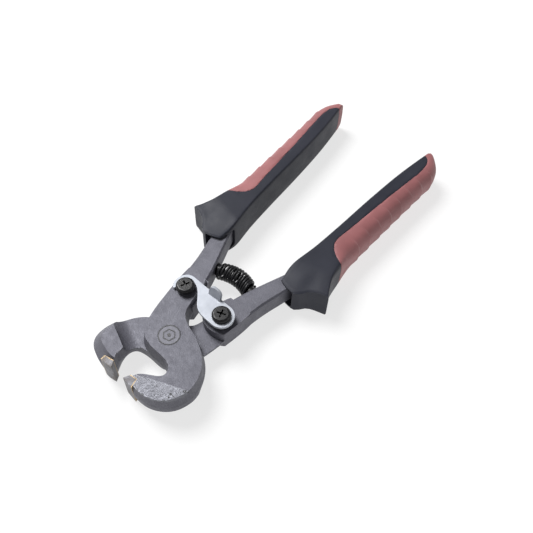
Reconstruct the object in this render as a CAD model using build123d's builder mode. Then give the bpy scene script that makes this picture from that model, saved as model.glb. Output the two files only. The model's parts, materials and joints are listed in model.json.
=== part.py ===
"""Tile nippers: two crossed levers on a pivot rivet, with carbide-tipped jaws, a return spring,
a storage latch and two-colour grips.

Millimetres. The origin is on the pivot axis, at the back face of the rear lever's head. +Y runs from
the jaws to the handles and +Z from the rear lever to the front lever, which lies on top. The levers
are shown latched. The rear lever has its tang at +X and its jaw at -X, and the front lever the reverse:
outlines are drawn for the rear lever and turned over for the front one.
"""

import os
from math import cos, radians, sin

from build123d import *

# Head and levers
HEAD_T = 17.0  # both layers of the half-lap head together
MID_Z = HEAD_T / 2  # middle plane of the whole tool
LAP_GAP = 0.2  # gap between the two plates of the lap joint
PLATE_T = MID_Z - LAP_GAP / 2
TANG_T = 11.6
TANG_END_Y = 118.0  # end of the tang inside its grip
HEAD_STEP_Y = 35.5  # where the head's outer face steps down to the tang
DRAFT_IN = 1.2  # forging draft of the head's walls, across
DRAFT_DOWN = 7.4  # and down
JAW_BEVEL_IN = 4.6  # bevel round the back of the full-height jaw, across
JAW_BEVEL_DOWN = 6.0  # and down
STEP_AT = 14.1  # distance from the pivot axis to where the jaw begins to rise to its full height
STEP_ANGLE = 245.8  # direction from the pivot axis to the middle of that line
HOLLOW_R = 7.5  # hollow between the plate and the full-height jaw
GROUND_AT = 23.2  # distance from the pivot axis to the line where the jaw's ground flat begins
GROUND_ANGLE = 249.0  # direction from the pivot axis to the middle of that line
GROUND_SLOPE = 9.0
TANG_BEVEL = 0.9
BOSS_Z = MID_Z + TANG_T / 2  # upper face of the tangs
BOSS_AT = (11.7, 27.2)  # crescent-shaped step from the plate up to the tang
BOSS_R = 11.7

# Pivot rivet
RIVET_R = 4.0
RIVET_HEAD_R = 5.4
RIVET_HEAD_T = 2.6
RIVET_RING = 0.3  # bevel that draws the ring round the rivet's end
RUNNING = 0.06  # radial clearance of turning fits
END_PLAY = 0.1

# Carbide tips
BRAZE_T = 0.45
SEAM_SLANT = 0.6  # how far a seam's slanted edge moves across for each millimetre along

# Latch and its screws
LATCH_T = 1.5
LATCH_Z = HEAD_T + 0.4  # underside of the latch
LATCH_AT = (12.6, 22.8)
CATCH_AT = (-11.8, 23.8)
EYE_R = 6.4
EYE_TOP = 88.0  # angles about the latch screw where the straight back of the latch ends
EYE_BOTTOM = -95.0  # and where its lower edge begins
LATCH_EDGE = [(6.2, 16.9), (1.5, 18.3), (-2.6, 22.4), (-6.2, 26.3)]  # lower edge, from the eye to the hook
HOOK_R_IN = 4.9
HOOK_R_OUT = 7.0
HOOK_START = 78.0  # angles about the catch screw where the hook's inside begins
HOOK_END = 218.0  # and ends
HOOK_TOP = 93.0  # where the hook's outside meets the straight back
TAB_AT = (3.0, 29.3)
TAB_W = 7.2
TAB_H = 7.0
TAB_LEAN = 14.0
TAB_CORNER_R = 2.88
SCREW_HEAD_R = 4.7
SCREW_HEAD_T = 2.3
SCREW_HEAD_EDGE = 1.265  # rounding of the head's upper edge
LATCH_SCREW_TURN = 20.0  # angles of the cross recesses
CATCH_SCREW_TURN = -25.0
SCREW_R = 2.5
SCREW_END_Z = 5.5  # lower ends of both screws
SLEEVE_R = 3.4  # sleeve that the latch turns on
SPACER_R = 5.2
WASHER_T = 0.3
COLLAR_R = 2.8
RECESS_W = 0.9  # cross recess
RECESS_L = 4.6
RECESS_DEPTH = 1.6

# Return spring
SPRING_Y = 47.0
SPRING_R = 5.0  # outside
SPRING_HALF_L = 10.3
SPRING_TURNS = 11.0
WIRE_R = 0.62
PEG_R = 3.2
PEG_IN_X = 8.2  # inner, rounded end of a spring peg
PEG_OUT_X = 17.0  # end of a peg inside its tang
PEG_EDGE = 1.92  # rounding of the inner end

# Grips
GRIP_SIDE = [(56, 8.0), (72, 10.5), (100, 10.5), (150, 9.5), (190, 8.2)]  # y, and half the thickness there
GRIP_EDGE = 0.6
SPINE_HALF_T = 6.8  # half the thickness of the hard core inside the soft overmould
MOUTH_GAP = 1.0  # above and below the tang in the grip's mouth
FAR = 60.0  # well outside the tool, for cutting regions
PAST_END_Y = 195.0  # beyond the ends of the grips

# Outlines, drawn for the rear lever. Each list is one smooth curve.
HEEL = [(20.6, HEAD_STEP_Y), (20.2, 28.5), (18.2, 14.6), (15.6, 2), (11.8, -6.1), (4.6, -10.3)]
CROTCH = [(-7.4, 9.4), (-2.4, 11.3), (1.8, 14.8), (3.2, 19), (4.2, 24.6), (7.4, HEAD_STEP_Y)]
NECK = [(-25.6, -4.8), (-23.3, -1), (-20.7, 1.9), (-17.1, 4.7), (-12.4, 7.4), (-7.4, 9.4)]
TANG_OUTER = [(19.4, 24), (20.6, 33), (22.4, 43.7), (25.6, 56.3), (29.2, 76), (33, TANG_END_Y)]
TANG_INNER = [(28, TANG_END_Y), (22.4, 74), (15.5, 55.6), (9.7, 39.5), (6.4, 24)]

FRONT_THROAT = [HEEL[-1], (-0.5, -11), (-6, -11.3), (-10.4, -13), (-11.4, -15.6), (-8.6, -18.4), (-3.4, -21.6),
                (-0.7, -25.7)]
FRONT_TIP = (1.1, -28.8)
FRONT_BACK = [FRONT_TIP, (-7, -29.9), (-13.5, -29.7), (-19.8, -27.2), (-24.5, -22.8), (-26.9, -17.6),
              (-27.6, -12.5), (-26.9, -8.6)]
FRONT_SEAM = [(2, -26.6), (-0.7, -26.1), (-4.2, -25.7), (-4.5, -27.6), (-5.2, -32)]

REAR_THROAT = [HEEL[-1], (-2, -10.2), (-8.5, -10.5), (-12.3, -12), (-13.6, -15.5), (-13.2, -19), (-11.9, -22.6)]
REAR_BLOCK_THROAT = [HEEL[-1], (-2, -10.2), (-8, -10.6), (-11, -12.6), (-11.8, -15.5), (-11.7, -19),
                     (-11.9, -22.6)]
REAR_TIP = (-8.6, -28.7)
REAR_BACK = [REAR_TIP, (-14, -29.2), (-19.5, -28.1), (-25.3, -25.6), (-28.3, -22.2), (-29.2, -18), (-28.7, -13.5),
             (-27.3, -9)]
REAR_SEAM = [(-8, -26), (-10.1, -26.1), (-12.5, -26.6), (-14.6, -26.5), (-14.9, -32)]

GRIP_INNER = [(20.5, 58.9), (19.4, 69), (21.7, 86), (23.3, 106), (24.7, 130), (26.4, 152), (28.2, 167),
              (31.1, 185.6)]
GRIP_END = [(31.1, 185.6), (38.6, 183.4)]
GRIP_OUTER = [(42.6, 173), (41.2, 146), (40.0, 118), (39.2, 95), (39.7, 85), (40.8, 76), (45.4, 66.6)]
GRIP_FRONT = [(45.4, 65.4), (40, 63.8), (35, 61.2), (31.6, 57.0)]
GRIP_LIP = [(31.6, 57.0), (20.5, 58.9)]
SPINE_OUTER = [(34.4, 84), (36.4, 96), (37.2, 118), (38.6, 146), (39.8, 168)]
SPINE_CORNER = (37.4, 177.6)
SPINE_TIP = (32.6, 180.6)
SPINE_ROOT = (24, 84)
MOUTH = [(10, 50), (29.2, 50), (28.6, 66.5), (19, 69.5), (10, 69.5)]
RED_EDGE = [(48, 84.6), (39, 85.2), (32.8, 88), (29, 92), (27.9, 97), (29, 107), (32.2, 139), (35.4, 167)]
RED_END = [(35.4, 167), (35.1, 174.2), (33.6, 178), (31.2, 179.8), (24, 179.6)]


def turned(points, side):
    """The same points for a lever with its tang at -X when side is -1."""
    return [(side * x, y) for x, y in points]


def outline(curves, side, z):
    """Face at height z. Each list of points is one smooth curve, and the curves join end to end."""
    with BuildSketch(Plane.XY.offset(z)) as face:
        with BuildLine():
            for curve in curves:
                points = turned(curve, side)
                if len(points) == 2:
                    Line(*points)
                else:
                    Spline(*points)
        make_face()
    return face.sketch


def plate_outline(side, throat, back, z):
    """Plan of a lever's own layer: half the head, the neck and the jaw."""
    curves = [HEEL, throat, [throat[-1], back[0]], [*back, *NECK], CROTCH, [CROTCH[-1], HEEL[0]]]
    return outline(curves, side, z)


def step_point(side, reach):
    """Point on the ray from the pivot axis through the middle of the step line."""
    return (side * reach * cos(radians(STEP_ANGLE)), reach * sin(radians(STEP_ANGLE)))


def beyond_step(side, z):
    """Region of the full-height jaw, outwards from the step line."""
    with BuildSketch(Plane.XY.offset(z)) as region:
        with Locations(step_point(side, STEP_AT + FAR)):
            Rectangle(2 * FAR, 4 * FAR, rotation=side * (STEP_ANGLE - 180))
    return region.sketch


def hollow_solid(side, z):
    """Round bar along the step line, cut out of the jaw where it rises. Its axis is at height z."""
    along = (-sin(radians(STEP_ANGLE)), side * cos(radians(STEP_ANGLE)), 0)
    with BuildPart(Plane(origin=(*step_point(side, STEP_AT), z), z_dir=along)) as hollow:
        Cylinder(HOLLOW_R, 2 * FAR)
    return hollow.part


def ground_solid(side, up):
    """Wedge ground off the outer face of a jaw, which leaves a shallow slope towards the cutting end."""
    middle = (side * GROUND_AT * cos(radians(GROUND_ANGLE)), GROUND_AT * sin(radians(GROUND_ANGLE)))
    along = (-sin(radians(GROUND_ANGLE)), side * cos(radians(GROUND_ANGLE)), 0)
    flat = Plane(origin=(*middle, HEAD_T if up else 0), x_dir=along, z_dir=(0, 0, 1 if up else -1))
    tilt = GROUND_SLOPE if up else -GROUND_SLOPE
    with BuildPart(flat.rotated((tilt, 0, 0))) as wedge:
        Box(2 * FAR, 2 * FAR, FAR, align=(Align.CENTER, Align.CENTER, Align.MIN))
    with BuildPart() as ground:
        add(wedge.part)
        with BuildSketch(Plane.XY.offset(-FAR)):
            with Locations((middle[0] * (1 + FAR / GROUND_AT), middle[1] * (1 + FAR / GROUND_AT))):
                Rectangle(2 * FAR, 4 * FAR, rotation=side * (GROUND_ANGLE - 180))
        extrude(amount=2 * FAR, mode=Mode.INTERSECT)
    return ground.part


def seam_zone(side, seam, grow):
    """Region of a carbide tip. The seam's line is moved back by grow."""
    far_tip = (FAR, seam[0][1] + grow)
    moved = [(x - grow * SEAM_SLANT, y + grow) for x, y in seam[:-2]] + [(x - grow, y) for x, y in seam[-2:]]
    points = [far_tip, *moved, (FAR, seam[-1][1])]
    with BuildSketch() as zone:
        with BuildLine():
            Polyline(*turned(points, side), close=True)
        make_face()
    return zone.sketch


def tang_solid(side):
    """Tang, at the middle of the tool's thickness."""
    curves = [TANG_OUTER, [TANG_OUTER[-1], TANG_INNER[0]], TANG_INNER, [TANG_INNER[-1], TANG_OUTER[0]]]
    with BuildPart() as tang:
        extrude(outline(curves, side, MID_Z - TANG_T / 2), amount=TANG_T)
        chamfer(tang.edges().filter_by(Plane.XY), TANG_BEVEL)
    return tang.part


def boss_solid(side, throat, back):
    """Crescent-shaped boss that joins the tang to its plate."""
    with BuildSketch(Plane.XY.offset(MID_Z - TANG_T / 2)) as crescent:
        add(plate_outline(side, throat, back, MID_Z - TANG_T / 2))
        with Locations((side * BOSS_AT[0], BOSS_AT[1])):
            Circle(BOSS_R, mode=Mode.INTERSECT)
    with BuildPart() as boss:
        extrude(crescent.sketch, amount=TANG_T)
    return boss.part


def plate_solid(side, throat, back, z, height):
    """Half the head's thickness, with drafted walls. A negative height goes down."""
    with BuildPart() as plate:
        extrude(plate_outline(side, throat, back, z), amount=height)
        face = plate.faces().sort_by(Axis.Z)[-1 if height > 0 else 0]
        chamfer(face.edges(), DRAFT_IN, DRAFT_DOWN, reference=face)
    return plate.part


def block_solid(side, throat, back, z, height):
    """The other half of the jaw's thickness, with a bevel round its back."""
    with BuildSketch(Plane.XY.offset(z)) as plan:
        add(plate_outline(side, throat, back, z))
        add(beyond_step(side, z), mode=Mode.INTERSECT)
    with BuildPart() as block:
        extrude(plan.sketch, amount=height)
        face = block.faces().sort_by(Axis.Z)[-1 if height > 0 else 0]
        chamfer(face.edges().sort_by(SortBy.LENGTH)[-1], JAW_BEVEL_IN, JAW_BEVEL_DOWN, reference=face)
        add(hollow_solid(side, z + (HOLLOW_R if height > 0 else -HOLLOW_R)), mode=Mode.SUBTRACT)
    return block.part


def grip_solid(side):
    """Whole grip with its guard, thinner at the front rim and at the end."""
    curves = [GRIP_INNER, GRIP_END, [GRIP_END[-1], GRIP_OUTER[0]], GRIP_OUTER, [GRIP_OUTER[-1], GRIP_FRONT[0]],
              GRIP_FRONT, GRIP_LIP]
    top = [(y, MID_Z + half) for y, half in GRIP_SIDE]
    bottom = [(y, MID_Z - half) for y, half in reversed(GRIP_SIDE)]
    with BuildSketch(Plane.YZ.offset(-FAR)) as side_view:
        with BuildLine():
            Polyline(*top, *bottom, close=True)
        make_face()
    with BuildPart() as grip:
        extrude(outline(curves, side, MID_Z - FAR / 2), amount=FAR)
        extrude(side_view.sketch, amount=2 * FAR, mode=Mode.INTERSECT)
        walls = grip.faces().filter_by(lambda face: abs(face.normal_at().Z) < 0.2).edges()
        flats = grip.faces().filter_by(lambda face: abs(face.normal_at().Z) > 0.2).edges()
        fillet([edge for edge in flats if edge in walls], GRIP_EDGE)
    return grip.part


def spine_solid(side):
    """The hard core that the soft overmould is moulded round."""
    ends = [SPINE_OUTER[-1], SPINE_CORNER], [SPINE_CORNER, SPINE_TIP], [SPINE_TIP, SPINE_ROOT]
    with BuildPart() as spine:
        extrude(outline([SPINE_OUTER, *ends, [SPINE_ROOT, SPINE_OUTER[0]]], side, MID_Z - SPINE_HALF_T),
                amount=2 * SPINE_HALF_T)
    return spine.part


def red_zone(side):
    """Everything outside the line where the soft overmould begins."""
    corners = [RED_END[-1], (RED_END[-1][0], PAST_END_Y), (FAR, PAST_END_Y), (FAR, RED_EDGE[0][1]), RED_EDGE[0]]
    curves = [RED_EDGE, RED_END, *([a, b] for a, b in zip(corners, corners[1:]))]
    with BuildPart() as zone:
        extrude(outline(curves, side, -FAR / 2), amount=FAR * 2)
    return zone.part


def mouth_solid(side):
    """The wide mouth of a grip, open towards the other handle, with a gap all round the tang."""
    half = TANG_T / 2 + MOUTH_GAP
    with BuildSketch(Plane.XY.offset(MID_Z - half)) as plan:
        with BuildLine():
            Polyline(*turned(MOUTH, side), close=True)
        make_face()
    with BuildPart() as mouth:
        extrude(plan.sketch, amount=2 * half)
    return mouth.part


def pan_screw(at, head_z, turn):
    """Pan-head screw with a cross recess. Its head rests at head_z."""
    with BuildPart(Plane.XY.offset(head_z)) as screw:
        with Locations((*at, 0)):
            Cylinder(SCREW_HEAD_R, SCREW_HEAD_T, align=(Align.CENTER, Align.CENTER, Align.MIN))
            fillet(screw.edges().group_by(Axis.Z)[-1], SCREW_HEAD_EDGE)
            Cylinder(SCREW_R, head_z - SCREW_END_Z, align=(Align.CENTER, Align.CENTER, Align.MAX))
        with BuildSketch(Plane((*at, head_z + SCREW_HEAD_T - RECESS_DEPTH))):
            Rectangle(RECESS_L, RECESS_W, rotation=turn)
            Rectangle(RECESS_W, RECESS_L, rotation=turn)
        extrude(amount=RECESS_DEPTH + END_PLAY, mode=Mode.SUBTRACT)
    return screw.part


def forging(side, throat, block_throat, back, plate_up):
    """One lever as forged, before its holes and pockets are machined."""
    inner_z = HEAD_T - PLATE_T if plate_up else PLATE_T
    plate_height = PLATE_T if plate_up else -PLATE_T
    block_height = -inner_z if plate_up else HEAD_T - inner_z
    with BuildPart() as lever:
        add(plate_solid(side, throat, back, inner_z, plate_height))
        add(block_solid(side, block_throat, back, inner_z, block_height))
        add(tang_solid(side))
        add(boss_solid(side, throat, back))
        add(ground_solid(side, plate_up), mode=Mode.SUBTRACT)
    return lever.part


def tip_solid(side, throat, back, zone):
    """A carbide tip, or what is cut out for it: the jaw's plan inside a zone, ground with its jaw."""
    with BuildSketch() as plan:
        add(plate_outline(side, throat, back, 0))
        add(zone, mode=Mode.INTERSECT)
    with BuildPart() as tip:
        extrude(plan.sketch, amount=HEAD_T)
        add(ground_solid(side, side < 0), mode=Mode.SUBTRACT)
    return tip.part


def peg_solid(side):
    """Spring peg: a round bar along X, rounded where it stands inside the spring."""
    with BuildPart() as peg:
        with BuildSketch(Plane.YZ.offset(side * PEG_IN_X)):
            with Locations((SPRING_Y, MID_Z)):
                Circle(PEG_R)
        extrude(amount=side * (PEG_OUT_X - PEG_IN_X))
        fillet(peg.edges().sort_by(Axis.X)[0 if side > 0 else -1], PEG_EDGE)
    return peg.part


# Pivot rivet, flush in both levers
with BuildPart() as pivot_rivet:
    Cylinder(RIVET_R, HEAD_T, align=(Align.CENTER, Align.CENTER, Align.MIN))
    Cylinder(RIVET_HEAD_R, RIVET_HEAD_T, align=(Align.CENTER, Align.CENTER, Align.MIN))
    with Locations((0, 0, HEAD_T)):
        Cylinder(RIVET_HEAD_R, RIVET_HEAD_T, align=(Align.CENTER, Align.CENTER, Align.MAX))
    chamfer(pivot_rivet.edges().group_by(Axis.Z)[-1], RIVET_RING)

# Carbide tips and the braze round them
with BuildPart() as front_carbide_tip:
    add(tip_solid(-1, FRONT_THROAT, FRONT_BACK, seam_zone(-1, FRONT_SEAM, 0)))
with BuildPart() as front_braze:
    add(tip_solid(-1, FRONT_THROAT, FRONT_BACK, seam_zone(-1, FRONT_SEAM, BRAZE_T)))
    add(front_carbide_tip.part, mode=Mode.SUBTRACT)
with BuildPart() as rear_carbide_tip:
    add(tip_solid(1, REAR_THROAT, REAR_BACK, seam_zone(1, REAR_SEAM, 0)))
with BuildPart() as rear_braze:
    add(tip_solid(1, REAR_THROAT, REAR_BACK, seam_zone(1, REAR_SEAM, BRAZE_T)))
    add(rear_carbide_tip.part, mode=Mode.SUBTRACT)

# Spring pegs
with BuildPart() as front_spring_peg:
    add(peg_solid(-1))
with BuildPart() as rear_spring_peg:
    add(peg_solid(1))

# Levers, with their pockets and holes
with BuildPart() as front_lever:
    add(forging(-1, FRONT_THROAT, FRONT_THROAT, FRONT_BACK, True))
    add(front_carbide_tip.part, mode=Mode.SUBTRACT)
    add(front_braze.part, mode=Mode.SUBTRACT)
    add(front_spring_peg.part, mode=Mode.SUBTRACT)
    with Locations((0, 0, HEAD_T)):
        CounterBoreHole(RIVET_R + RUNNING, RIVET_HEAD_R + RUNNING, RIVET_HEAD_T + END_PLAY, HEAD_T)
    with Locations((*CATCH_AT, HEAD_T)):
        Hole(SCREW_R, HEAD_T - SCREW_END_Z)

with BuildPart() as rear_lever:
    add(forging(1, REAR_THROAT, REAR_BLOCK_THROAT, REAR_BACK, False))
    add(rear_carbide_tip.part, mode=Mode.SUBTRACT)
    add(rear_braze.part, mode=Mode.SUBTRACT)
    add(rear_spring_peg.part, mode=Mode.SUBTRACT)
    with Locations(Location((0, 0, 0), (180, 0, 0))):
        CounterBoreHole(RIVET_R, RIVET_HEAD_R, RIVET_HEAD_T, HEAD_T)
    with Locations((*LATCH_AT, BOSS_Z)):
        Hole(SCREW_R, BOSS_Z - SCREW_END_Z)

# Latch stack: shouldered sleeve, washer, latch and screw
sleeve_top = LATCH_Z + LATCH_T + END_PLAY
washer_z = LATCH_Z - WASHER_T - END_PLAY / 2
with BuildPart(Plane.XY.offset(BOSS_Z)) as latch_spacer:
    with Locations(LATCH_AT):
        Cylinder(SPACER_R, washer_z - BOSS_Z, align=(Align.CENTER, Align.CENTER, Align.MIN))
        Cylinder(SLEEVE_R, sleeve_top - BOSS_Z, align=(Align.CENTER, Align.CENTER, Align.MIN))
        Hole(SCREW_R)

with BuildPart(Plane.XY.offset(washer_z)) as latch_washer:
    with Locations(LATCH_AT):
        Cylinder(SPACER_R, WASHER_T, align=(Align.CENTER, Align.CENTER, Align.MIN))
        Hole(SLEEVE_R + RUNNING / 2)

with BuildPart() as latch_screw:
    add(pan_screw(LATCH_AT, sleeve_top, LATCH_SCREW_TURN))
with BuildPart() as catch_screw:
    add(pan_screw(CATCH_AT, sleeve_top, CATCH_SCREW_TURN))

with BuildPart(Plane.XY.offset(HEAD_T)) as catch_collar:
    with Locations(CATCH_AT):
        Cylinder(COLLAR_R, sleeve_top - HEAD_T, align=(Align.CENTER, Align.CENTER, Align.MIN))
        Hole(SCREW_R)


def about(centre, radius, angle):
    """Point at an angle in degrees on a circle."""
    return (centre[0] + radius * cos(radians(angle)), centre[1] + radius * sin(radians(angle)))


hook_out_end = about(CATCH_AT, HOOK_R_OUT - 0.9, HOOK_END - 2)
hook_in_end = about(CATCH_AT, HOOK_R_IN, HOOK_END)
hook_in_start = about(CATCH_AT, HOOK_R_IN, HOOK_START)
with BuildPart() as latch:
    with BuildSketch(Plane.XY.offset(LATCH_Z)):
        with BuildLine():
            Line(about(CATCH_AT, HOOK_R_OUT, HOOK_TOP), about(LATCH_AT, EYE_R, EYE_TOP))
            ThreePointArc(about(LATCH_AT, EYE_R, EYE_TOP), about(LATCH_AT, EYE_R, 0),
                          about(LATCH_AT, EYE_R, EYE_BOTTOM))
            Spline(about(LATCH_AT, EYE_R, EYE_BOTTOM), *LATCH_EDGE, hook_in_start)
            ThreePointArc(hook_in_start, about(CATCH_AT, HOOK_R_IN, 150), hook_in_end)
            ThreePointArc(hook_in_end, about(CATCH_AT, HOOK_R_OUT * 0.82, HOOK_END + 6), hook_out_end)
            Spline(hook_out_end, about(CATCH_AT, HOOK_R_OUT - 0.4, 180), about(CATCH_AT, HOOK_R_OUT + 0.1, 135),
                   about(CATCH_AT, HOOK_R_OUT, HOOK_TOP))
        make_face()
        with Locations(LATCH_AT):
            Circle(SLEEVE_R + RUNNING, mode=Mode.SUBTRACT)
    extrude(amount=LATCH_T)
    tab_plane = Plane(origin=(*TAB_AT, LATCH_Z), x_dir=(1, 0, 0), z_dir=(0, 1, 0)).rotated((-TAB_LEAN, 0, 0))
    with BuildSketch(tab_plane):
        with Locations((0, -TAB_H / 2)):
            RectangleRounded(TAB_W, TAB_H, TAB_CORNER_R)
        with Locations((0, -TAB_H / 4)):
            Rectangle(TAB_W, TAB_H / 2)
    extrude(amount=-LATCH_T)

# Return spring
with BuildPart() as return_spring:
    coil_r = SPRING_R - WIRE_R
    half_l = SPRING_HALF_L - WIRE_R
    with BuildLine() as coil_line:
        start = (-half_l, SPRING_Y, MID_Z)
        coil = Helix(2 * half_l / SPRING_TURNS, 2 * half_l, coil_r, center=start, direction=(1, 0, 0))
    with BuildSketch(Plane(coil @ 0, z_dir=coil % 0)):
        Circle(WIRE_R)
    sweep(path=coil_line.line, is_frenet=True)

# Grips
grips = {}
for name, side, lever in (("front", -1, front_lever), ("rear", 1, rear_lever)):
    with BuildPart() as overmould:
        add(grip_solid(side))
        add(red_zone(side), mode=Mode.INTERSECT)
        add(spine_solid(side), mode=Mode.SUBTRACT)
    with BuildPart() as core:
        add(grip_solid(side))
        add(overmould.part, mode=Mode.SUBTRACT)
        add(mouth_solid(side), mode=Mode.SUBTRACT)
        add(lever.part, mode=Mode.SUBTRACT)
    grips[name + "_grip_overmould"] = overmould
    grips[name + "_grip_core"] = core

pieces = {
    "front_lever": front_lever,
    "rear_lever": rear_lever,
    "front_carbide_tip": front_carbide_tip,
    "rear_carbide_tip": rear_carbide_tip,
    "front_braze": front_braze,
    "rear_braze": rear_braze,
    "pivot_rivet": pivot_rivet,
    "latch": latch,
    "latch_screw": latch_screw,
    "latch_spacer": latch_spacer,
    "latch_washer": latch_washer,
    "catch_screw": catch_screw,
    "catch_collar": catch_collar,
    "return_spring": return_spring,
    "front_spring_peg": front_spring_peg,
    "rear_spring_peg": rear_spring_peg,
    **grips,
}
os.makedirs("parts", exist_ok=True)
for name, piece in pieces.items():
    piece.part.label = name
    export_step(piece.part, f"parts/{name}.step")
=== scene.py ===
"""Tile nippers: materials, detailed grips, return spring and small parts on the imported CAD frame. Metres."""
import json
from math import cos, pi, radians, sin

import bmesh
import bpy
from mathutils import Matrix, Vector


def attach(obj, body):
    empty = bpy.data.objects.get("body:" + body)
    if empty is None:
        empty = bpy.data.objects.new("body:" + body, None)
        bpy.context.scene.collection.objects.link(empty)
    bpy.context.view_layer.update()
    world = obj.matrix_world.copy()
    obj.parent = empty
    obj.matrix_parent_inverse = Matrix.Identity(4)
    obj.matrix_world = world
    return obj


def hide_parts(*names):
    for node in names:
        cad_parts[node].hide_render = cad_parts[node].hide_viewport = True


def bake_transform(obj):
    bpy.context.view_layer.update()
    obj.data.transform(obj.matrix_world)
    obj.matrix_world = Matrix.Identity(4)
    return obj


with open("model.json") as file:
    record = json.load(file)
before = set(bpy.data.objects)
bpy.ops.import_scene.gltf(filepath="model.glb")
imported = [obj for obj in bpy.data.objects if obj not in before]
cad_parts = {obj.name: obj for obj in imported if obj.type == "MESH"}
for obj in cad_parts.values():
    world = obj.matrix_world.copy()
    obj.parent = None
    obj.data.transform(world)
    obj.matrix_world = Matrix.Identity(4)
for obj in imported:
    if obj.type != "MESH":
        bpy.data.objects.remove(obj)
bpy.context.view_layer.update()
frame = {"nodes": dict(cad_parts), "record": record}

MM = 0.001
MID_Z = 8.5  # middle plane of the tool, mm
GROUND_AT = 23.2  # distance from the pivot axis to the lines where the jaws' ground flats begin, mm
SCENE = bpy.context.scene
SCENE.view_settings.view_transform = "Standard"  # so that a white floor comes out white


# ---------------------------------------------------------------- materials
def new_material(name, colour, roughness, metallic=0.0):
    """A principled material and its node tree, with the plain values on its own sockets."""
    material = bpy.data.materials.new(name)
    material.use_nodes = True
    shader = material.node_tree.nodes["Principled BSDF"]
    shader.inputs["Base Color"].default_value = (*colour, 1)
    shader.inputs["Roughness"].default_value = roughness
    shader.inputs["Metallic"].default_value = metallic
    return material, material.node_tree, shader


def noise(tree, scale, detail=4.0, stretch=(1, 1, 1), distortion=0.0):
    """3-D noise over the object, its scale in cycles per metre. Gives the factor output."""
    where = tree.nodes.new("ShaderNodeTexCoord")
    mapping = tree.nodes.new("ShaderNodeMapping")
    mapping.inputs["Scale"].default_value = stretch
    texture = tree.nodes.new("ShaderNodeTexNoise")
    texture.inputs["Scale"].default_value = scale
    texture.inputs["Detail"].default_value = detail
    texture.inputs["Distortion"].default_value = distortion
    tree.links.new(where.outputs["Object"], mapping.inputs["Vector"])
    tree.links.new(mapping.outputs["Vector"], texture.inputs["Vector"])
    return texture.outputs["Fac"]


def ramp(tree, factor, stops):
    """Colour ramp from (position, colour) stops. A colour may be one grey number."""
    node = tree.nodes.new("ShaderNodeValToRGB")
    elements = node.color_ramp.elements
    while len(elements) < len(stops):
        elements.new(0.5)
    for element, (position, colour) in zip(elements, stops):
        element.position = position
        element.color = (*colour, 1) if isinstance(colour, tuple) else (colour, colour, colour, 1)
    tree.links.new(factor, node.inputs["Fac"])
    return node.outputs["Color"]


def mix(tree, factor, a, b, blend="MIX"):
    """Mixes two colours. The factor may be a number or an output."""
    node = tree.nodes.new("ShaderNodeMix")
    node.data_type = "RGBA"
    node.blend_type = blend
    for socket, value in ((node.inputs[0], factor), (node.inputs[6], a), (node.inputs[7], b)):
        if isinstance(value, bpy.types.NodeSocket):
            tree.links.new(value, socket)
        else:
            socket.default_value = value if not isinstance(value, tuple) else (*value, 1)
    return node.outputs[2]


def bump(tree, shader, layers):
    """Chains (height output, depth in metres) layers of bump into the shader's normal."""
    last = None
    for height, depth in layers:
        node = tree.nodes.new("ShaderNodeBump")
        node.inputs["Strength"].default_value = 1.0
        node.inputs["Distance"].default_value = depth
        tree.links.new(height, node.inputs["Height"])
        if last is not None:
            tree.links.new(last, node.inputs["Normal"])
        last = node.outputs["Normal"]
    tree.links.new(last, shader.inputs["Normal"])


def edge_wear(tree, low=0.5, high=0.6):
    """Near 1 on outside edges and 0 elsewhere, from the pointiness of the mesh."""
    geometry = tree.nodes.new("ShaderNodeNewGeometry")
    return ramp(tree, geometry.outputs["Pointiness"], [(low, 0.0), (high, 1.0)])


def coordinate(tree, weights, offset):
    """Dot product of the object position, in millimetres, with weights, plus offset."""
    where = tree.nodes.new("ShaderNodeTexCoord")
    dot = tree.nodes.new("ShaderNodeVectorMath")
    dot.operation = "DOT_PRODUCT"
    dot.inputs[1].default_value = tuple(w / MM for w in weights)
    tree.links.new(where.outputs["Object"], dot.inputs[0])
    add = tree.nodes.new("ShaderNodeMath")
    add.operation = "ADD"
    add.inputs[1].default_value = offset
    tree.links.new(dot.outputs["Value"], add.inputs[0])
    return add.outputs[0]


def math(tree, operation, a, b):
    """One math node. Either input may be a number or an output."""
    node = tree.nodes.new("ShaderNodeMath")
    node.operation = operation
    for socket, value in zip(node.inputs, (a, b)):
        if isinstance(value, bpy.types.NodeSocket):
            tree.links.new(value, socket)
        else:
            socket.default_value = value
    return node.outputs[0]


def ground_flats(tree):
    """1 on the ground flats of both jaws and 0 elsewhere."""
    front = ramp(tree, coordinate(tree, (0.358, -0.934, 0), -GROUND_AT), [(0.0, 0.0), (0.12, 1.0)])
    rear = ramp(tree, coordinate(tree, (-0.358, -0.934, 0), -GROUND_AT), [(0.0, 0.0), (0.12, 1.0)])
    top = ramp(tree, coordinate(tree, (0, 0, 1), -14.8), [(0.0, 0.0), (0.4, 1.0)])
    bottom = ramp(tree, coordinate(tree, (0, 0, -1), 2.2), [(0.0, 0.0), (0.4, 1.0)])
    return math(tree, "MAXIMUM", math(tree, "MULTIPLY", front, top), math(tree, "MULTIPLY", rear, bottom))


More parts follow.
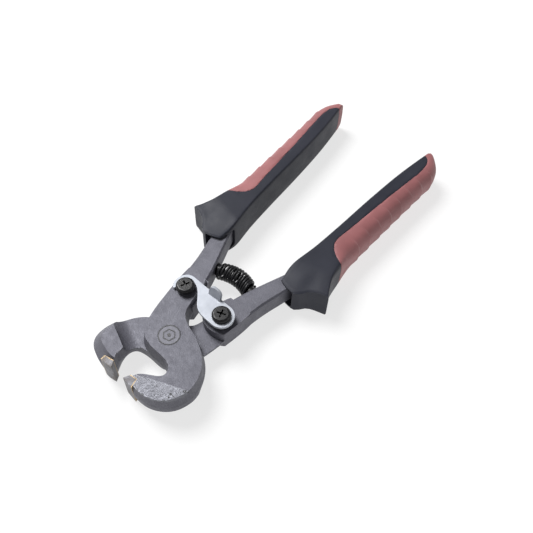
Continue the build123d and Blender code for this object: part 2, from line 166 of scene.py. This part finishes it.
def forged_steel():
    material, tree, shader = new_material("forged_steel", (0.12, 0.12, 0.14), 0.55, 0.3)
    shader.inputs["Specular IOR Level"].default_value = 0.4
    cloud = ramp(tree, noise(tree, 120, 6), [(0.32, (0.106, 0.106, 0.128)), (0.68, (0.134, 0.134, 0.16))])
    grain = ramp(tree, noise(tree, 3000, 3), [(0.36, 0.72), (0.64, 1.22)])
    cast = mix(tree, 1.0, cloud, grain, "MULTIPLY")
    flat = ground_flats(tree)
    brushed = ramp(tree, noise(tree, 700, 5, (1, 0.25, 1), 1.2),
                   [(0.3, (0.095, 0.097, 0.114)), (0.55, (0.135, 0.138, 0.16)), (0.75, (0.24, 0.245, 0.28))])
    pitted = ramp(tree, noise(tree, 560, 2), [(0.33, 0.12), (0.365, 1.0)])
    surface = mix(tree, flat, cast, mix(tree, 1.0, brushed, pitted, "MULTIPLY"))
    tree.links.new(surface, shader.inputs["Base Color"])
    rough = ramp(tree, noise(tree, 400, 4), [(0.3, 0.47), (0.7, 0.6)])
    tree.links.new(mix(tree, flat, rough, (0.34, 0.34, 0.34)), shader.inputs["Roughness"])
    bump(tree, shader, [(noise(tree, 2600, 3), 0.00011), (noise(tree, 500, 3), 0.0001)])
    return material


def carbide():
    material, tree, shader = new_material("carbide", (0.12, 0.12, 0.13), 0.46, 0.3)
    tint = ramp(tree, noise(tree, 260, 4), [(0.35, (0.075, 0.062, 0.055)), (0.5, (0.115, 0.112, 0.122)),
                                            (0.7, (0.17, 0.17, 0.187))])
    tree.links.new(tint, shader.inputs["Base Color"])
    bump(tree, shader, [(noise(tree, 900, 4, (1, 1, 0.12)), 0.00012), (noise(tree, 3000, 2), 0.00004)])
    return material


def braze():
    material, tree, shader = new_material("braze", (0.4, 0.3, 0.16), 0.45, 0.4)
    tone = ramp(tree, noise(tree, 900, 4), [(0.3, (0.26, 0.18, 0.09)), (0.7, (0.42, 0.32, 0.19))])
    tree.links.new(tone, shader.inputs["Base Color"])
    bump(tree, shader, [(noise(tree, 1500, 4), 0.0002)])
    return material


def turned_steel():
    material, tree, shader = new_material("turned_steel", (0.12, 0.12, 0.14), 0.5, 0.35)
    tone = ramp(tree, noise(tree, 500, 5), [(0.3, (0.1, 0.1, 0.12)), (0.7, (0.13, 0.13, 0.153))])
    tree.links.new(tone, shader.inputs["Base Color"])
    bump(tree, shader, [(noise(tree, 2200, 3), 0.00006)])
    return material


def zinc_plate():
    material, tree, shader = new_material("zinc_plate", (0.5, 0.52, 0.56), 0.42, 0.3)
    tone = ramp(tree, noise(tree, 150, 4), [(0.3, (0.33, 0.35, 0.39)), (0.7, (0.4, 0.42, 0.465))])
    tree.links.new(tone, shader.inputs["Base Color"])
    tree.links.new(ramp(tree, noise(tree, 700, 3), [(0.3, 0.4), (0.7, 0.52)]), shader.inputs["Roughness"])
    bump(tree, shader, [(noise(tree, 1100, 2, (1, 0.15, 1)), 0.00003), (noise(tree, 3000, 2), 0.00002)])
    return material


def black_steel():
    material, tree, shader = new_material("black_steel", (0.01, 0.01, 0.012), 0.34, 0.0)
    shader.inputs["Specular IOR Level"].default_value = 0.3
    worn = mix(tree, edge_wear(tree, 0.54, 0.66), (0.008, 0.008, 0.009), (0.05, 0.05, 0.056))
    tree.links.new(worn, shader.inputs["Base Color"])
    tree.links.new(ramp(tree, noise(tree, 900, 3), [(0.3, 0.26), (0.7, 0.45)]), shader.inputs["Roughness"])
    bump(tree, shader, [(noise(tree, 2500, 2), 0.00004)])
    return material


def grip_black():
    material, tree, shader = new_material("grip_black", (0.03, 0.032, 0.042), 0.46)
    shader.inputs["Specular IOR Level"].default_value = 0.16
    tone = ramp(tree, noise(tree, 45, 4), [(0.3, (0.023, 0.0245, 0.034)), (0.7, (0.032, 0.034, 0.046))])
    tree.links.new(tone, shader.inputs["Base Color"])
    tree.links.new(ramp(tree, noise(tree, 120, 4), [(0.3, 0.4), (0.7, 0.52)]), shader.inputs["Roughness"])
    bump(tree, shader, [(noise(tree, 3500, 2), 0.00004), (noise(tree, 260, 2), 0.00004)])
    return material


def grip_red():
    material, tree, shader = new_material("grip_red", (0.3, 0.09, 0.095), 0.55)
    shader.inputs["Specular IOR Level"].default_value = 0.35
    shader.inputs["Sheen Weight"].default_value = 0.12
    shader.inputs["Sheen Roughness"].default_value = 0.5
    tone = ramp(tree, noise(tree, 60, 5), [(0.3, (0.26, 0.094, 0.097)), (0.7, (0.335, 0.126, 0.13))])
    tree.links.new(tone, shader.inputs["Base Color"])
    tree.links.new(ramp(tree, noise(tree, 150, 3), [(0.3, 0.46), (0.7, 0.62)]), shader.inputs["Roughness"])
    bump(tree, shader, [(noise(tree, 3200, 2), 0.00005), (noise(tree, 240, 2), 0.00005)])
    return material


MATERIALS = {
    "forged_steel": forged_steel(), "carbide": carbide(), "braze": braze(), "rivet_steel": turned_steel(),
    "zinc_plate": zinc_plate(), "black_steel": black_steel(), "grip_black": grip_black(), "grip_red": grip_red(),
}
SLOT_OF = {part["node"]: part["material_slot"] for part in frame["record"]["subparts"]}


# ---------------------------------------------------------------- small geometry helpers
def smooth_step(low, high, value):
    t = min(1.0, max(0.0, (value - low) / (high - low)))
    return t * t * (3 - 2 * t)


def curve_through(points, count):
    """count points evenly spaced along a Catmull-Rom curve through the given plan points."""
    ends = [tuple(2 * a - b for a, b in zip(points[0], points[1]))]
    ends.append(tuple(2 * a - b for a, b in zip(points[-1], points[-2])))
    p = [Vector(q) for q in (ends[0], *points, ends[1])]
    fine = []
    for i in range(1, len(p) - 2):
        for k in range(24):
            t = k / 24
            fine.append(0.5 * (2 * p[i] + (p[i + 1] - p[i - 1]) * t
                               + (2 * p[i - 1] - 5 * p[i] + 4 * p[i + 1] - p[i + 2]) * t * t
                               + (3 * p[i] - p[i - 1] - 3 * p[i + 1] + p[i + 2]) * t ** 3))
    fine.append(p[-2])
    lengths = [0.0]
    for a, b in zip(fine, fine[1:]):
        lengths.append(lengths[-1] + (b - a).length)
    out, k = [], 0
    for i in range(count):
        want = lengths[-1] * i / (count - 1)
        while k < len(fine) - 2 and lengths[k + 1] < want:
            k += 1
        span = lengths[k + 1] - lengths[k]
        out.append(fine[k].lerp(fine[k + 1], (want - lengths[k]) / span if span else 0))
    return out


def mesh_object(name, bm, slot, body):
    """Turns a bmesh drawn in millimetres into a piece that rides on a body."""
    bmesh.ops.scale(bm, vec=(MM, MM, MM), verts=bm.verts)
    bmesh.ops.recalc_face_normals(bm, faces=bm.faces)
    mesh = bpy.data.meshes.new(name)
    bm.to_mesh(mesh)
    bm.free()
    obj = bpy.data.objects.new(name, mesh)
    SCENE.collection.objects.link(obj)
    mesh.materials.append(MATERIALS[slot])
    if body:
        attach(obj, body)
    return obj


def smooth_below(mesh, degrees):
    """Shades smooth and keeps edges above the angle sharp."""
    mesh.polygons.foreach_set("use_smooth", [True] * len(mesh.polygons))
    mesh.set_sharp_from_angle(angle=radians(degrees))


def tube(name, path, radius, slot, body, sides=14):
    """Round wire along a list of points."""
    bm = bmesh.new()
    rings = []
    normal = Vector((0, 0, 1))
    for i, point in enumerate(path):
        tangent = (path[min(i + 1, len(path) - 1)] - path[max(i - 1, 0)]).normalized()
        normal = (normal - tangent * normal.dot(tangent)).normalized()
        side = tangent.cross(normal)
        turns = [2 * pi * k / sides for k in range(sides)]
        rings.append([bm.verts.new(point + radius * (normal * cos(a) + side * sin(a))) for a in turns])
    for a, b in zip(rings, rings[1:]):
        for k in range(sides):
            bm.faces.new((a[k], a[(k + 1) % sides], b[(k + 1) % sides], b[k]))
    bm.faces.new(rings[0])
    bm.faces.new(list(reversed(rings[-1])))
    obj = mesh_object(name, bm, slot, body)
    smooth_below(obj.data, 60)
    return obj


# ---------------------------------------------------------------- grips
GRIP_INNER = [(20.5, 58.9), (19.4, 69), (21.7, 86), (23.3, 106), (24.7, 130), (26.4, 152), (28.2, 167),
              (31.1, 185.2)]
GRIP_OUTER = [(45.2, 65.7), (42.9, 69.6), (40.3, 76), (39.3, 85), (38.8, 95), (39.5, 118), (40.8, 146),
              (41.8, 165), (42.1, 173), (40.6, 179), (37.0, 183.2), (33.4, 185.3)]
# How far the guard's front stands forward of a straight line, from its inner to its outer corner
FRONT_LINE = [(0, 0), (0.1, 1.6), (0.22, 3.3), (0.36, 4.6), (0.45, 4.9), (0.5, 3.9), (0.56, 1.8), (0.65, 0.5),
              (0.78, -0.1), (1, 0)]
RED_EDGE = [(48, 84.6), (39.0, 85.2), (36.4, 86.0), (32.8, 88), (29.0, 92), (27.9, 97), (29.0, 107), (30.5, 122),
            (32.2, 139), (33.9, 153), (35.4, 167), (35.1, 174.2), (33.6, 178), (31.2, 179.9), (28, 179.8),
            (20, 179.6)]
RIDGE_FIRST = 102.8
RIDGE_PITCH = 9.83
RIDGES = 8
MOUTH = [(6, 46), (28.6, 46), (29.4, 60), (28.4, 66.0), (24, 69.0), (6, 69.0)]
MOUTH_HALF = 6.7  # half the height of the mouth
MOUTH_EDGE = 1.5
SEAM_DEPTH = 0.28  # groove along the line between the two colours


def between(table, value):
    """Linear interpolation in a list of (key, value) pairs."""
    for (k0, v0), (k1, v1) in zip(table, table[1:]):
        if value <= k1:
            return v0 + (v1 - v0) * max(0.0, (value - k0) / (k1 - k0))
    return table[-1][1]


def half_height(y, across, front):
    """Half the grip's thickness: lower along the front rim than behind it, and thinner towards the end."""
    rim = 7.9 + 1.1 * smooth_step(0.45, 0.85, across)
    body = 10.4 - 1.0 * smooth_step(100, 185, y)
    return rim + (body - rim) * smooth_step(0, 14, front)


def section(width, half, roundness, outer_round):
    """Points (across, share of the half height) of a section's upper half, from the inner wall to the outer."""
    points = []
    edge = 0.9
    rise = 0.1
    for k in range(9):
        z = (half - rise) * k / 8
        points.append((-0.35 * (1 - z * z), z))
    for k in range(1, 6):
        a = pi / 2 * k / 5
        points.append((edge - edge * cos(a), half - rise + rise * sin(a)))
    flat_end = width - outer_round
    for k in range(1, 12):
        t = k / 11
        points.append((edge + (flat_end - edge) * t, half))
    for k in range(1, 23):
        a = pi / 2 * (1 - k / 22)
        if k < 22:
            power = 2 / roundness
            points.append((flat_end + outer_round * cos(a) ** power, half * sin(a) ** power))
        else:
            points.append((width, 0.0))
    return points


def ridge_height(y, across):
    """Low scale-like ridges round the outer side: each rises slowly towards the end of the grip and drops."""
    shoulder = smooth_step(0.56, 0.78, across)
    if not shoulder:
        return 0.0
    place = (y + 2.5 * (1 - across) - RIDGE_FIRST) / RIDGE_PITCH
    if place < -1 or place > RIDGES - 1:
        return 0.0
    t = place % 1.0
    saw = t ** 1.8 if t < 0.94 else (1 - t) / 0.06
    return 0.6 * saw * shoulder * (smooth_step(-1, -0.4, place))


def grip_mesh(side):
    """Closed mesh of a whole grip with its guard, in millimetres, as a lofted set of rings."""
    rings_count = 220
    inner = curve_through(GRIP_INNER, rings_count)
    outer = curve_through(GRIP_OUTER, rings_count)
    bm = bmesh.new()
    rings = []
    for i, (a, b) in enumerate(zip(inner, outer)):
        s = i / (rings_count - 1)
        across = b - a
        width = across.length
        front = s * 122.0
        box = 1 - smooth_step(6, 34, front)
        end = smooth_step(0.972, 1.0, s)
        start_edge = 1 - smooth_step(0, 1.2, front)
        outline = section(width, 1.0, 2.5 + 6.0 * box, min(width * 0.66, 10.4) * (1 - 0.76 * box))
        loop = outline + [(x, -z) for x, z in reversed(outline[1:-1])]
        ring = []
        for x, z in loop:
            u = min(1.0, max(0.0, x / width))
            half = half_height(a.y + (b.y - a.y) * u, u, front) - 1.4 * end ** 2 - 0.45 * start_edge
            lift = ridge_height(a.y + (b.y - a.y) * u, u)
            plan = a + across * (x / width)
            plan = plan - Vector((0, between(FRONT_LINE, u) * (1 - smooth_step(0, 16, front))))
            plan = plan + across.normalized() * lift * smooth_step(0.55, 0.9, u)
            up = z * half + lift * z * (1 - smooth_step(0.75, 0.98, u)) * 0.6
            ring.append(bm.verts.new((side * plan.x, plan.y, MID_Z + up)))
        rings.append(ring)
    count = len(rings[0])
    for a, b in zip(rings, rings[1:]):
        for k in range(count):
            bm.faces.new((a[k], a[(k + 1) % count], b[(k + 1) % count], b[k]))
    for ring in (rings[0], rings[-1]):
        half_count = count // 2
        for k in range(half_count):
            low, high = ring[k], ring[k + 1]
            other_low, other_high = ring[(count - k) % count], ring[(count - k - 1) % count]
            corners = [low, high, other_high, other_low]
            unique = [v for i, v in enumerate(corners) if v not in corners[:i]]
            if len(unique) > 2:
                bm.faces.new(unique)
    bmesh.ops.recalc_face_normals(bm, faces=bm.faces)
    return bm


def signed_side(point, line):
    """Distance in plan from a line of points, positive on its right."""
    best, sign = 1e9, 1.0
    for a, b in zip(line, line[1:]):
        d = b - a
        t = max(0.0, min(1.0, (point - a).dot(d) / d.length_squared))
        gap = point - (a + d * t)
        if gap.length < best - 1e-9:
            best = gap.length
            sign = 1.0 if d.x * (point - a).y - d.y * (point - a).x < 0 else -1.0
    return best * sign


def cut_by_field(bm, field):
    """Splits faces where the field changes sign, so that the line between the two colours is a row of edges."""
    values = {v: field(v.co) for v in bm.verts}
    for v, value in values.items():
        if abs(value) < 0.02:
            values[v] = 0.0
    crossing = [e for e in bm.edges if values[e.verts[0]] * values[e.verts[1]] < 0]
    for e in crossing:
        a, b = e.verts
        t = values[a] / (values[a] - values[b])
        _, new = bmesh.utils.edge_split(e, a, t)
        values[new] = 0.0
    for f in list(bm.faces):
        on_line = [v for v in f.verts if values[v] == 0.0]
        signs = {values[v] > 0 for v in f.verts if values[v] != 0.0}
        if len(on_line) == 2 and len(signs) == 2:
            try:
                bmesh.utils.face_split(f, on_line[0], on_line[1])
            except ValueError:
                pass
    return values


def grip_pieces(name, side):
    """The hard core and the soft overmould of one grip, from one shape."""
    bm = grip_mesh(side)
    mesh = bpy.data.meshes.new(name + "_whole")
    bm.to_mesh(mesh)
    bm.free()
    whole = bpy.data.objects.new(name + "_whole", mesh)
    SCENE.collection.objects.link(whole)

    cut = bmesh.new()
    half = MOUTH_HALF
    plan = [(side * x, y) for x, y in MOUTH]
    low = [cut.verts.new((x, y, MID_Z - half)) for x, y in plan]
    high = [cut.verts.new((x, y, MID_Z + half)) for x, y in plan]
    for k in range(len(plan)):
        n = (k + 1) % len(plan)
        cut.faces.new((low[k], low[n], high[n], high[k]))
    cut.faces.new(low)
    cut.faces.new(list(reversed(high)))
    bmesh.ops.recalc_face_normals(cut, faces=cut.faces)
    bmesh.ops.bevel(cut, geom=list(cut.edges), offset=MOUTH_EDGE, segments=3, profile=0.5, affect="EDGES")
    cutter_mesh = bpy.data.meshes.new(name + "_mouth")
    cut.to_mesh(cutter_mesh)
    cut.free()
    cutter = bpy.data.objects.new(name + "_mouth", cutter_mesh)
    SCENE.collection.objects.link(cutter)
    modifier = whole.modifiers.new("mouth", "BOOLEAN")
    modifier.object = cutter
    modifier.operation = "DIFFERENCE"
    modifier.solver = "EXACT"
    bpy.context.view_layer.update()
    result = bpy.data.meshes.new_from_object(whole.evaluated_get(bpy.context.evaluated_depsgraph_get()))
    bpy.data.objects.remove(whole)
    bpy.data.objects.remove(cutter)

    line = [Vector((side * x, y)) for x, y in curve_through(RED_EDGE, 160)]
    bm = bmesh.new()
    bm.from_mesh(result)
    values = cut_by_field(bm, lambda co: side * signed_side(Vector((co.x, co.y)), line))
    bm.normal_update()
    for v, value in values.items():
        if value == 0.0:
            v.co -= v.normal * SEAM_DEPTH
    bm.verts.index_update()
    value_at = {v.index: value for v, value in values.items()}
    for kind, keep, slot in (("core", -1, "grip_black"), ("overmould", 1, "grip_red")):
        part = bm.copy()
        part.verts.index_update()
        drop = [f for f in part.faces if keep * sum(value_at.get(v.index, 0.0) for v in f.verts) < 0]
        bmesh.ops.delete(part, geom=drop, context="FACES")
        obj = mesh_object(f"{name}_grip_{kind}_shell", part, slot, name + "_lever")
        smooth_below(obj.data, 38)
        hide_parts(f"{name}_grip_{kind}")
    bm.free()


for grip_name, grip_side in (("front", -1), ("rear", 1)):
    grip_pieces(grip_name, grip_side)


# ---------------------------------------------------------------- return spring
SPRING_Y = 47.0
SPRING_HALF_L = 9.9
SPRING_BOW = 2.7
COIL_TURNS = 12.0
COIL_R = 4.3  # to the middle of the wire
WIRE_R = 0.66


def coil_spring():
    """Slightly uneven coil across the gap between the tangs, bowed towards the handles."""
    path = []
    steps = int(COIL_TURNS * 28)
    for i in range(steps + 1):
        t = i / steps
        x = -SPRING_HALF_L + 2 * SPRING_HALF_L * (t + 0.014 * sin(11.7 * t) + 0.007 * sin(31.0 * t + 1.0))
        x = max(-SPRING_HALF_L, min(SPRING_HALF_L, x))
        angle = 2 * pi * COIL_TURNS * t
        bow = SPRING_BOW * (1 - (x / SPRING_HALF_L) ** 2)
        path.append(Vector((x, SPRING_Y + bow + COIL_R * cos(angle), MID_Z + COIL_R * sin(angle))))
    obj = tube("return_spring_coil", path, WIRE_R, "black_steel", None, 12)
    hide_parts("return_spring")
    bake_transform(obj)


coil_spring()

# ---------------------------------------------------------------- pivot medallion
RELIEF_LOW, RELIEF_TOP = 16.95, 17.12  # heights of the foot and the top of the relief
RING = (4.85, 5.3, 72, 0.0)  # inner radius, outer radius, corners, turn
HEXAGON = (2.7, 3.35, 6, radians(12))
DOT = (0.05, 0.95, 28, 0.0)


def relief_band(bm, inner, outer, corners, turn):
    """Closed band with flat sides between two radii."""
    angles = [turn + 2 * pi * k / corners for k in range(corners)]
    rings = []
    for radius, height in ((inner, RELIEF_LOW), (inner, RELIEF_TOP), (outer, RELIEF_TOP), (outer, RELIEF_LOW)):
        rings.append([bm.verts.new((radius * cos(a), radius * sin(a), height)) for a in angles])
    for a, b in zip(rings, rings[1:] + rings[:1]):
        for k in range(corners):
            bm.faces.new((a[k], a[(k + 1) % corners], b[(k + 1) % corners], b[k]))


def medallion():
    """Generic mark on the rivet's end: a ring, a hexagon outline and a dot, in low relief."""
    bm = bmesh.new()
    for shape in (RING, HEXAGON, DOT):
        relief_band(bm, *shape)
    obj = mesh_object("pivot_mark", bm, "black_steel", "rear_lever")
    smooth_below(obj.data, 35)


medallion()

# ---------------------------------------------------------------- carried-over CAD nodes
# Widths of the rounded edges, mm
BEVELS = {"front_lever": 0.45, "rear_lever": 0.45, "latch": 0.22, "latch_spacer": 0.15, "latch_washer": 0.06,
          "pivot_rivet": 0.12, "front_carbide_tip": 0.12, "rear_carbide_tip": 0.12, "catch_screw": 0.12,
          "latch_screw": 0.12, "front_spring_peg": 0.15, "rear_spring_peg": 0.15}
for node, obj in frame["nodes"].items():
    obj.data.materials.clear()
    obj.data.materials.append(MATERIALS[SLOT_OF[node]])
    if node in BEVELS:
        rounding = obj.modifiers.new("rounding", "BEVEL")
        rounding.width = BEVELS[node] * MM
        rounding.segments = 3
        rounding.limit_method = "ANGLE"
        rounding.angle_limit = radians(32)
        rounding.harden_normals = True

# ---------------------------------------------------------------- floor, light and camera
FLOOR_Z = -0.0020
FLOOR_HALF = 12.0
corners = [(-FLOOR_HALF, -FLOOR_HALF, 0), (FLOOR_HALF, -FLOOR_HALF, 0), (FLOOR_HALF, FLOOR_HALF, 0),
           (-FLOOR_HALF, FLOOR_HALF, 0)]
floor_mesh = bpy.data.meshes.new("floor")
floor_mesh.from_pydata(corners, [], [(0, 1, 2, 3)])
floor = bpy.data.objects.new("floor", floor_mesh)
floor.location = (0, 0.05, FLOOR_Z)
SCENE.collection.objects.link(floor)
floor_material, floor_tree, floor_shader = new_material("floor", (0.28, 0.28, 0.28), 0.9)
floor_shader.inputs["Specular IOR Level"].default_value = 0.0
floor_shader.inputs["Emission Color"].default_value = (1, 1, 1, 1)
floor_shader.inputs["Emission Strength"].default_value = 0.72
floor_mesh.materials.append(floor_material)

world = bpy.data.worlds.new("studio")
world.use_nodes = True
direction = world.node_tree.nodes.new("ShaderNodeTexCoord")
split = world.node_tree.nodes.new("ShaderNodeSeparateXYZ")
world.node_tree.links.new(direction.outputs["Generated"], split.inputs[0])
sky = ramp(world.node_tree, split.outputs["Z"], [(0.2, 1.0), (0.32, 0.2)])
world.node_tree.links.new(sky, world.node_tree.nodes["Background"].inputs["Color"])
world.node_tree.nodes["Background"].inputs["Strength"].default_value = 1.0
SCENE.world = world


def area_light(name, place, target, size, power):
    light = bpy.data.lights.new(name, "AREA")
    light.shape = "DISK"
    light.size = size
    light.energy = power
    obj = bpy.data.objects.new(name, light)
    obj.location = place
    obj.rotation_euler = (Vector(target) - Vector(place)).to_track_quat("-Z", "Y").to_euler()
    SCENE.collection.objects.link(obj)


area_light("key", (-0.62, 0.1, 0.9), (0.0, 0.07, 0.0), 0.6, 16.0)

CAMERA_AT = Vector((0.1231, -0.0896, 0.2848))
AZIMUTH, ELEVATION, ROLL = radians(37.08), radians(54.99), radians(2.73)
LOOK = Vector((-sin(AZIMUTH) * cos(ELEVATION), cos(AZIMUTH) * cos(ELEVATION), -sin(ELEVATION)))
camera_data = bpy.data.cameras.new("camera")
camera_data.lens = 43.53
camera_data.sensor_width = 36
camera_data.clip_start = 0.01
camera = bpy.data.objects.new("camera", camera_data)
look = LOOK.to_track_quat("-Z", "Y").to_matrix().to_4x4()
camera.matrix_world = Matrix.Translation(CAMERA_AT) @ look @ Matrix.Rotation(ROLL, 4, "Z")
SCENE.collection.objects.link(camera)
SCENE.camera = camera
